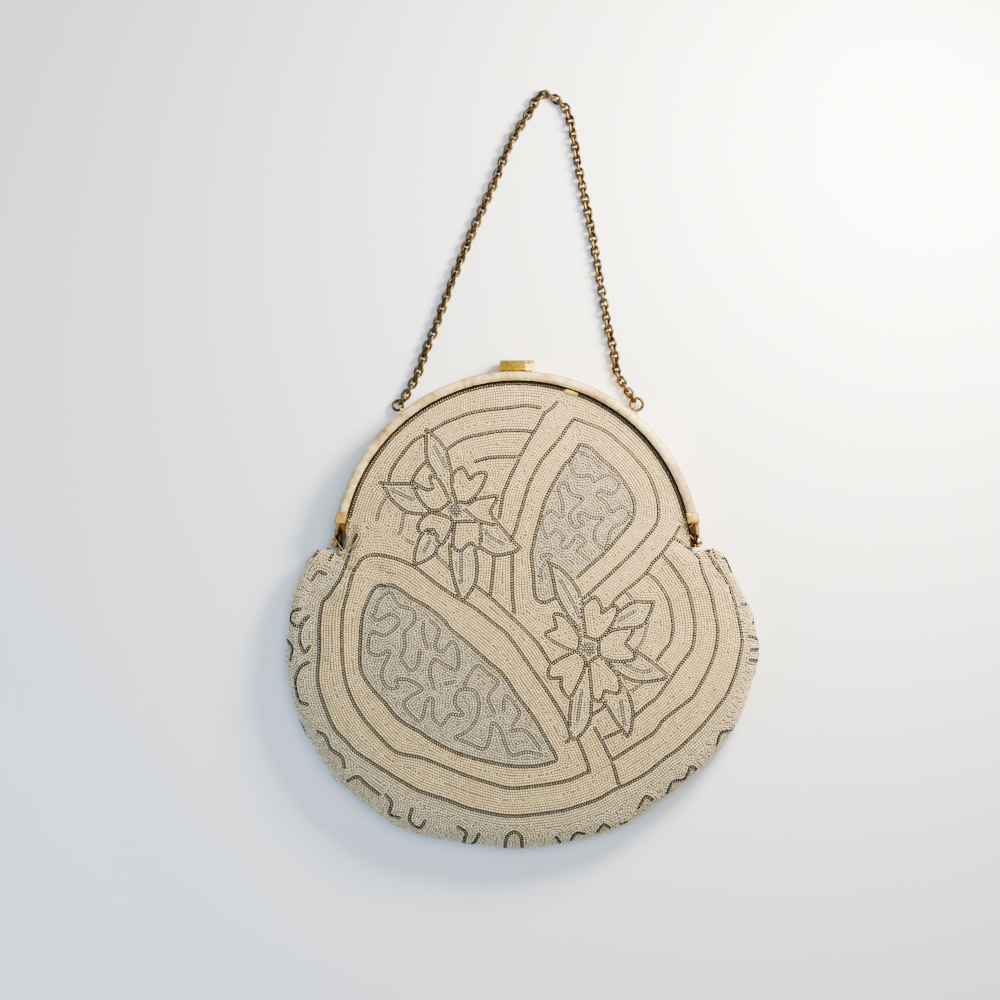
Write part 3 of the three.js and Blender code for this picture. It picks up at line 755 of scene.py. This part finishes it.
# Each guide line is walked round its outside at a growing distance, which gives the rows beside it.
def guideLoop(line):
    tangent = np.gradient(line, axis=0)
    tangent /= np.linalg.norm(tangent, axis=1)[:, None] + 1e-9
    side = np.stack([-tangent[:, 1], tangent[:, 0]], axis=1)

    def cap(point, way):
        start = math.atan2(way[1], way[0])
        turns = start - np.linspace(0, math.pi, 14)[1:-1]
        return np.repeat(point[None], 12, axis=0), np.stack([np.cos(turns), np.sin(turns)], axis=1)

    endPoints, endWays = cap(line[-1], side[-1])
    startPoints, startWays = cap(line[0], -side[0])
    base = np.vstack([line, endPoints, line[::-1], startPoints])
    ways = np.vstack([side, endWays, -side[::-1], startWays])
    return base, ways


# Beads laid so far, kept in square cells so that near ones are found fast.
class BeadField:
    def __init__(self, size):
        self.size = size
        self.cells = {}
        self.points = []
        self.ways = []
        self.kinds = []

    def cellOf(self, point):
        return int(point[0] // self.size), int(point[1] // self.size)

    def clear(self, point, distance):
        cx, cy = self.cellOf(point)
        for i in (cx - 1, cx, cx + 1):
            for j in (cy - 1, cy, cy + 1):
                for x, y in self.cells.get((i, j), ()):
                    if (x - point[0]) ** 2 + (y - point[1]) ** 2 < distance * distance:
                        return False
        return True

    def add(self, point, way, kind):
        self.cells.setdefault(self.cellOf(point), []).append((point[0], point[1]))
        self.points.append((point[0], point[1]))
        self.ways.append((way[0], way[1]))
        self.kinds.append(kind)


rowPlan = {
    # distances as shares of the pitch: between rows, beside a guide line, along a row, and how far a row
    # may come short of its distance
    "apart": 1.04, "beside": 0.1, "step": 0.34, "short": 0.12,
    # the least distances of beads: on a drawn line, in a row, from each other, in a hole, in a cluster
    "onLine": 0.72, "inRow": 0.94, "clear": 0.8, "hole": 0.78, "cluster": 0.7, "holeStep": 0.45, "cell": 1.02,
    # the most rows beside a line, the guide lines' step in mm, and how beads push their neighbours apart
    "most": 40, "fine": 0.3, "near": 6, "push": 0.3, "rounds": 3,
}


def layLine(field, line, pitch, kind, inside):
    line = resample(line, pitch * rowPlan["apart"])
    ways = np.gradient(line, axis=0)
    for point, way, ok in zip(line, ways, inside(line)):
        if ok and field.clear(point, pitch * rowPlan["apart"] * rowPlan["onLine"]):
            field.add(point, way, kind)


def fillRows(field, guides, pitch, inside):
    plan = rowPlan
    fine = [resample(line, plan["fine"]) for line in guides]
    tree = makeTree(np.vstack(fine))
    loops = [guideLoop(line) for line in fine]
    for level in range(1, plan["most"]):
        reach = (level * plan["apart"] + plan["beside"]) * pitch
        laid = 0
        for base, ways in loops:
            row = resample(base + ways * reach, pitch * plan["step"])
            far = np.array([tree.find((x, y, 0))[2] for x, y in row])
            good = (far > reach - plan["short"] * pitch) & inside(row)
            if not good.any():
                continue
            headings = np.gradient(row, axis=0)
            last = None
            for point, way, ok in zip(row, headings, good):
                if not ok:
                    continue
                if last is not None and math.dist(point, last) < pitch * plan["inRow"]:
                    continue
                if field.clear(point, pitch * plan["clear"]):
                    field.add(point, way, "fill")
                    last = point
                    laid += 1
        if not laid:
            break


# Beads that crowd each other are pushed apart a little.
def relax(points, fixed, pitch):
    for _ in range(rowPlan["rounds"]):
        tree = makeTree(points)
        push = np.zeros_like(points)
        for i, point in enumerate(points):
            if fixed[i]:
                continue
            for _, j, distance in tree.find_n((point[0], point[1], 0), rowPlan["near"]):
                if j != i and 1e-6 < distance < pitch:
                    push[i] += (point - points[j]) * (pitch - distance) / distance * rowPlan["push"]
        points = points + push
    return points


# What the rows leave empty is filled, the widest places first.
def fillHoles(field, pitch, inside, low, high):
    tree = makeTree(np.array(field.points))
    across, up = [np.arange(low[axis], high[axis], pitch * rowPlan["holeStep"]) for axis in (0, 1)]
    grid = np.stack(np.meshgrid(across, up), axis=-1).reshape(-1, 2)
    grid = grid[inside(grid)]
    free = [(tree.find((x, y, 0))[2], x, y) for x, y in grid]
    least = pitch * rowPlan["hole"]
    for distance, x, y in sorted(free, reverse=True):
        if distance < least:
            break
        if field.clear((x, y), least):
            field.add((x, y), (1, 0), "fill")


def chartLines(texts, flip):
    return [smoothLine(chartPoints(text), 0.4) * [flip, 1] for text in texts]


# A gilt tab of the frame that shows through the arch row.
tabPlan = {"place": (24.0, 71.6, 11.6), "size": (5.6, 1.5, 0.35), "open": 3.4}


def makeTab():
    form = bmesh.new()
    bmesh.ops.create_cube(form, size=1)
    x, y, z = tabPlan["place"]
    turn = Matrix.Rotation(math.atan2(-x, y), 4, "Z")
    place = Matrix.Scale(mm, 4) @ Matrix.Translation((x, y, z)) @ turn
    bmesh.ops.transform(form, matrix=place @ Matrix.Diagonal((*tabPlan["size"], 1)), verts=form.verts)
    bmesh.ops.bevel(form, geom=form.edges[:], offset=0.12 * mm, segments=2, affect="EDGES")
    mesh = bpy.data.meshes.new("frame_tab")
    form.to_mesh(mesh)
    form.free()
    mesh.materials.append(clipGilt)
    addPiece("frame_tab", mesh)


makeTab()


# The outline as cells of a fine grid, for a quick test of which points lie on the skin.
def makeInside(edge, cell=0.25):
    low, high = edge.min(axis=0), edge.max(axis=0)
    xs = np.arange(low[0] - 2, high[0] + 2, cell)
    ys = np.arange(low[1] - 2, high[1] + 2, cell)
    mask = np.array([insideOf(np.stack([xs, np.full_like(xs, y)], axis=1), edge[::2]) for y in ys])

    def inside(points):
        i = np.clip(((points[:, 1] - ys[0]) / cell).round().astype(int), 0, len(ys) - 1)
        j = np.clip(((points[:, 0] - xs[0]) / cell).round().astype(int), 0, len(xs) - 1)
        return mask[i, j]

    return inside


def besideTab(points):
    return np.linalg.norm(points - np.array(tabPlan["place"][:2]), axis=1) > tabPlan["open"]


def everywhere(points):
    return np.ones(len(points), bool)


def layCluster(field, middle, pitch):
    for count, radius in clusterRings:
        for turn in np.arange(count) * 2 * math.pi / count:
            point = middle + radius * np.array([math.cos(turn), math.sin(turn)])
            if field.clear(point, pitch * rowPlan["cluster"]):
                field.add(point, (math.sin(turn), -math.cos(turn)), "steel")


# All beads of one side, as places and headings on the flattened skin and what each belongs to.
def planSide(front):
    band = bandFront if front else bandBack
    pitch = beadPlan["pitch"]["front" if front else "back"]
    flip = 1 if front else -1
    arch, lower, edge = skinEdge(band)
    inside = makeInside(edge)
    field = BeadField(pitch * rowPlan["cell"])
    layLine(field, arch, pitch, "silver", besideTab if front else everywhere)
    guides = [arch, lower]
    edges = [part for text in petalChart + leafChart for part in text.split("|")[:2]]
    veins = [text.split("|")[2] for text in leafChart]
    sets = [("silver", silverChart), ("silver", edges), ("steel", twigChart), ("steel", veins)]
    sets += [("steel", meanderChart), ("loop", loopChart)]
    for kind, texts in sets:
        for line in chartLines(texts, flip):
            line = unroll(line, band)
            layLine(field, line, pitch, kind, inside)
            guides.append(line)
    for middle in chartPoints(clusterChart):
        layCluster(field, middle * [flip, 1], pitch)
    drawn = len(field.points)
    fillRows(field, guides, pitch, inside)
    rows = len(field.points)
    fillHoles(field, pitch, inside, edge.min(axis=0), edge.max(axis=0))
    points = np.array(field.points)
    fixed = np.array([kind != "fill" for kind in field.kinds])
    points = relax(points, fixed, pitch)
    between = len(points) - rows
    side = "front" if front else "back"
    print(side, "beads:", drawn, "drawn,", rows - drawn, "in rows,", between, "between them")
    return points, np.array(field.ways), np.array(field.kinds), band, pitch


# Which glass a filling bead has. A field is bounded by these lines of the silver chart, counted from 0.
panelRows = {"outer": 15, "lower": 18, "upperLeft": 9, "upperRight": 10}
paleBelow = 4  # in mm, up to where the outer field is pale


def glassOf(points, kinds, flip):
    flat = points * [flip, 1]
    names = np.where(kinds == "fill", "ivory", np.where(kinds == "loop", "silver", kinds)).astype("U8")
    fill = kinds == "fill"
    outer, lower, left, right = [chartPoints(silverChart[row]) for row in panelRows.values()]
    names[fill & insideOf(flat, lower)] = "clear"
    names[fill & insideOf(flat, np.vstack([left, right[::-1]]))] = "clear"
    names[fill & ~insideOf(flat, outer) & (flat[:, 1] < paleBelow)] = "pale"
    for text in leafChart:
        a, b = [chartPoints(part) for part in text.split("|")[:2]]
        names[fill & insideOf(flat, np.vstack([a, b[::-1]]))] = "pale"
    return names


# The template's crown value, highest on the bead's top and zero on its rim, drives the painted highlight and
# the painted rim shade.
def makeBeadTemplate():
    form = bmesh.new()
    bmesh.ops.create_icosphere(form, subdivisions=1, radius=0.5)
    verts = np.array([vert.co for vert in form.verts])
    faces = np.array([[vert.index for vert in face.verts] for face in form.faces])
    form.free()
    return verts, faces, (verts[:, 2] / 0.5).clip(0, 1) ** 2


templateVerts, templateFaces, templatePaintedLight = makeBeadTemplate()


def beadMesh(name, places, normals, alongs, sizes, tones, material):
    wide = beadPlan["wide"].get(material, beadPlan["plain"])
    count = len(places)
    normals = normals / np.linalg.norm(normals, axis=1)[:, None]
    alongs = alongs - normals * (alongs * normals).sum(axis=1)[:, None]
    alongs /= np.linalg.norm(alongs, axis=1)[:, None] + 1e-9
    across = np.cross(normals, alongs)
    shape = templateVerts * wide
    axes = np.stack([alongs, across, normals], axis=1)
    verts = np.einsum("vk,nkc->nvc", shape, axes) * sizes[:, None, None] + places[:, None, :]
    faces = templateFaces[None] + (np.arange(count) * len(templateVerts))[:, None, None]
    mesh = bpy.data.meshes.new(name)
    mesh.from_pydata((verts * mm).reshape(-1, 3).tolist(), [], faces.reshape(-1, 3).tolist())
    tone = mesh.attributes.new("tone", "FLOAT", "POINT")
    tone.data.foreach_set("value", np.repeat(tones, len(templateVerts)).astype(np.float32))
    # Painted light: each vertex's crown value, for the painted highlight and the painted rim shade.
    crown_painted_light = mesh.attributes.new("crown_painted_light", "FLOAT", "POINT")
    crown_painted_light.data.foreach_set("value", np.tile(templatePaintedLight, count).astype(np.float32))
    mesh.shade_smooth()
    mesh.materials.append(beadFinish[material])
    return mesh


def layBeads(front):
    plan = beadPlan
    points, ways, kinds, band, pitch = planSide(front)
    flip = 1 if front else -1
    names = glassOf(points, kinds, flip)
    found = [settle(point, band, front) for point in points]
    places = np.array([hit for hit, _ in found]) / mm
    normals = np.array([normal for _, normal in found])
    if not front:
        normals[normals[:, 2] > plan["facing"]] *= -1
    ways = np.column_stack([ways, np.zeros(len(ways))])
    raised = np.array([plan["raised"].get(name, plan["plainRaised"]) for name in names])
    raised = raised * pitch / plan["pitch"]["front"]
    places = places + normals * raised[:, None]
    places[:, 2] = places[:, 2].clip(plan["lowest"], None)
    sway = dice.normal(0, plan["jitter"], len(points)).clip(-plan["mostJitter"], plan["mostJitter"])
    sizes = pitch * (1 + sway)
    tones = dice.beta(*plan["tones"], len(points))
    side = "front" if front else "back"
    for material in beadFinish:
        chosen = np.flatnonzero(names == material)
        chosen = chosen[np.argsort(places[chosen, 1])]
        parts = max(1, math.ceil(len(chosen) / plan["most"]))
        for number, part in enumerate(np.array_split(chosen, parts), 1):
            name = f"beads_{side}_{material}" + (f"_{number}" if parts > 1 else "")
            mesh = beadMesh(name, places[part], normals[part], ways[part], sizes[part], tones[part], material)
            addPiece(name, mesh)
            print(name, len(part), "beads")


layBeads(True)
layBeads(False)


# Chain of real links. The route is the CAD chain's, as shares of the arch's radius and the handle's height.
chainPlan = {
    "arch": 81.0, "height": 139.0, "pitch": 2.92, "wire": 0.7, "long": 5.72, "wide": 4.6, "level": 2.25,
    "route": [
        (-0.543, 0.11), (-0.497, 0.186), (-0.443, 0.263), (-0.348, 0.414), (-0.24, 0.566),
        (-0.125, 0.718), (-0.073, 0.794), (-0.011, 0.87), (0.073, 0.946), (0.109, 0.984), (0.158, 1),
        (0.215, 0.983), (0.274, 0.946), (0.307, 0.87), (0.328, 0.794), (0.353, 0.718), (0.407, 0.566),
        (0.451, 0.414), (0.497, 0.263), (0.527, 0.186), (0.552, 0.11),
    ],
    "lugHeight": 64.25, "rounds": 14, "sides": 7, "step": 0.12, "spare": 0.6,
    # turns in degrees, and over how many links at each end the lean grows
    "lean": 24, "stray": 9, "ends": 3,
}


def makeLink():
    plan = chainPlan
    bend = plan["wide"] / 2 - plan["wire"]
    form = bmesh.new()
    turn = Matrix.Translation((bend, 0, 0)) @ Matrix.Rotation(math.pi / 2, 4, "X")
    ring = bmesh.ops.create_circle(form, segments=plan["sides"], radius=plan["wire"], matrix=turn)["verts"]
    edges = list({edge for vert in ring for edge in vert.link_edges})
    bmesh.ops.spin(
        form, geom=ring + edges, axis=(0, 0, 1), cent=(0, 0, 0), angle=2 * math.pi, steps=plan["rounds"],
        use_merge=True,
    )
    bmesh.ops.remove_doubles(form, verts=form.verts, dist=1e-4)
    bmesh.ops.recalc_face_normals(form, faces=form.faces)
    half = (plan["long"] - plan["wide"]) / 2
    for vert in form.verts:
        vert.co.x += math.copysign(half, vert.co.x) if abs(vert.co.x) > 0.2 else 0
    return form


def makeChain():
    plan = chainPlan
    leftLow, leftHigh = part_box("end_link_left")
    rightLow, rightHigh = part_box("connector_ring_right")
    start = ((leftLow + leftHigh) / 2 / mm).to_2d()
    end = ((rightLow + rightHigh) / 2 / mm).to_2d()
    lug = plan["lugHeight"]
    middle = [(across * plan["arch"], lug + up * plan["height"]) for across, up in plan["route"]]
    path = smoothLine(np.array([tuple(start), *middle, tuple(end)]), 0.1)
    run = arcLengths(path)
    count = round((run[-1] - plan["spare"]) / plan["pitch"])
    at = np.arange(1, count) * run[-1] / count
    link = makeLink()
    mesh = bpy.data.meshes.new("link")
    link.to_mesh(mesh)
    link.free()
    form = bmesh.new()

    def alongPath(distance):
        return np.array([np.interp(distance, run, path[:, axis]) for axis in (0, 1)])

    for i, distance in enumerate(at):
        x, y = alongPath(distance)
        bearing = math.atan2(*(alongPath(distance + 1) - alongPath(distance - 1))[::-1])
        near = min(i, len(at) - 1 - i)
        lean = math.radians(plan["lean"]) * smoothstep(0, plan["ends"], near)
        base = lean + math.radians(dice.normal(0, plan["stray"]))
        roll = base + (math.pi / 2 if i % 2 else 0)
        level = plan["level"] + (plan["step"] if i % 2 else 0)
        turn = Matrix.Rotation(bearing, 4, "Z") @ Matrix.Rotation(roll, 4, "X")
        place = Matrix.Translation((x, y, level)) @ turn
        old = len(form.verts)
        form.from_mesh(mesh)
        form.verts.ensure_lookup_table()
        bmesh.ops.transform(form, matrix=Matrix.Scale(mm, 4) @ place, verts=form.verts[old:])
    made = bpy.data.meshes.new("chain_links")
    form.to_mesh(made)
    form.free()
    made.shade_smooth()
    made.materials.append(chainBrass)
    piece = addPiece("chain_links", made)
    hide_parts("chain")
    print("chain made:", len(at), "links")


makeChain()


# A few loose ends of sewing thread beside the hinges, in mm.
threadPlan = {
    "radius": 0.11,
    "lines": [
        [(-79.5, 6.2, 11.5), (-76.5, 2.5, 13.2), (-73.6, 0.4, 14.6), (-71.2, 2.6, 15.0)],
        [(-78.6, -1.2, 12.0), (-75.8, 0.6, 13.6), (-72.4, 3.9, 14.6), (-70.0, 7.5, 14.2)],
        [(-77.2, -2.6, 12.6), (-74.6, -0.8, 14.2), (-72.6, 0.8, 15.0)],
        [(75.8, 12.2, 12.6), (77.2, 13.6, 13.4), (75.2, 15.2, 13.2), (74.2, 13.6, 12.4)],
        [(74.0, 7.6, 12.6), (76.0, 8.6, 13.4), (77.6, 7.0, 12.8)],
    ],
}


def makeThreads():
    curve = bpy.data.curves.new("thread_ends", "CURVE")
    curve.dimensions = "3D"
    curve.bevel_depth = threadPlan["radius"] * mm
    curve.bevel_resolution = 1
    curve.use_fill_caps = True
    for line in threadPlan["lines"]:
        points = smoothLine(np.array(line), 0.5) * mm
        spline = curve.splines.new("POLY")
        spline.points.add(len(points) - 1)
        for point, co in zip(spline.points, points):
            point.co = (*co, 1)
    holder = bpy.data.objects.new("thread_curves", curve)
    bpy.context.scene.collection.objects.link(holder)
    bpy.context.view_layer.update()
    mesh = bpy.data.meshes.new_from_object(holder.evaluated_get(bpy.context.evaluated_depsgraph_get()))
    bpy.data.objects.remove(holder)
    mesh.materials.clear()
    mesh.materials.append(beadFinish["ivory"])
    addPiece("thread_ends", mesh)


makeThreads()


# Finishes of the CAD parts that stay, with their edges eased.
nodeFinish = {
    "frame_back": gilt, "frame_front": gilt, "hinge_pin_left": gilt, "hinge_pin_right": gilt,
    "cover_back": ivoryCover, "cover_front": ivoryCover,
    "clasp_lever": claspGilt, "clasp_pin": claspGilt,
    "end_clip_back_left": clipGilt, "end_clip_back_right": clipGilt,
    "end_clip_front_left": clipGilt, "end_clip_front_right": clipGilt,
    "jump_ring_left": chainBrass, "jump_ring_right": chainBrass,
    "end_link_left": chainBrass, "connector_ring_right": chainBrass,
}
# Widths of the eased edges in mm.
easing = {
    "cover_back": 0.32, "cover_front": 0.32, "frame_back": 0.08, "frame_front": 0.08, "clasp_lever": 0.12,
}
plainEasing = 0.1
easedAngle = 32  # in degrees, the least turn at an edge that is eased
ringNodes = ("jump_ring_left", "jump_ring_right", "end_link_left", "connector_ring_right")
ringThicker = 0.28  # in mm, how much the rings' wire is filled out

for name, material in nodeFinish.items():
    node = nodes[name]
    if not node.material_slots:
        node.data.materials.append(material)
    for holder in node.material_slots:
        holder.material = material
    weld = node.modifiers.new("weld", "WELD")
    weld.merge_threshold = 0.002 * mm
    node.data.shade_smooth()
    if name in ringNodes:
        rounding = node.modifiers.new("rounding", "SUBSURF")
        rounding.levels = rounding.render_levels = 2
        thicker = node.modifiers.new("thicker", "DISPLACE")
        thicker.strength = ringThicker * mm
        thicker.mid_level = 0
    else:
        edges = node.modifiers.new("edges", "BEVEL")
        edges.width = easing.get(name, plainEasing) * mm
        edges.segments = 2
        edges.limit_method = "ANGLE"
        edges.angle_limit = math.radians(easedAngle)
        edges.harden_normals = True
print("finishes set")


# Floor and soft light.
stagePlan = {
    "floor": 3.0, "floorColour": (0.96, 0.96, 0.96, 1), "sky": (0.58, 0.79, 1, 1), "skyStrength": 0.42,
}
form = bmesh.new()
bmesh.ops.create_grid(form, x_segments=1, y_segments=1, size=stagePlan["floor"] / 2)
floorMesh = bpy.data.meshes.new("floor")
form.to_mesh(floorMesh)
form.free()
floor = bpy.data.objects.new("floor", floorMesh)
bpy.context.scene.collection.objects.link(floor)
floorPaint = makeMaterial("floor_paint", {"Roughness": 0.9, "Base Color": stagePlan["floorColour"]})[0]
floorMesh.materials.append(floorPaint)

lamps = [
    # name, place, size, watts, colour
    ("key", (0.21, 0.21, 0.18), 0.12, 6.4, (1.0, 0.89, 0.72)),
    ("fill", (-0.42, -0.26, 0.3), 0.4, 2.6, (0.36, 0.6, 1.0)),
    ("top", (0.4, 0.35, 1.7), 1.0, 19, (1.0, 0.96, 0.9)),
]
for name, place, size, watts, colour in lamps:
    light = bpy.data.lights.new(name, "AREA")
    light.size = size
    light.energy = watts
    light.color = colour
    lamp = bpy.data.objects.new(name, light)
    lamp.location = place
    lamp.rotation_euler = (Vector((0, 0.02, 0)) - Vector(place)).to_track_quat("-Z", "Y").to_euler()
    bpy.context.scene.collection.objects.link(lamp)
world = bpy.data.worlds.new("studio")
world.use_nodes = True
background = world.node_tree.nodes["Background"]
background.inputs["Color"].default_value = stagePlan["sky"]
background.inputs["Strength"].default_value = stagePlan["skyStrength"]
bpy.context.scene.world = world
print("stage and lights set")
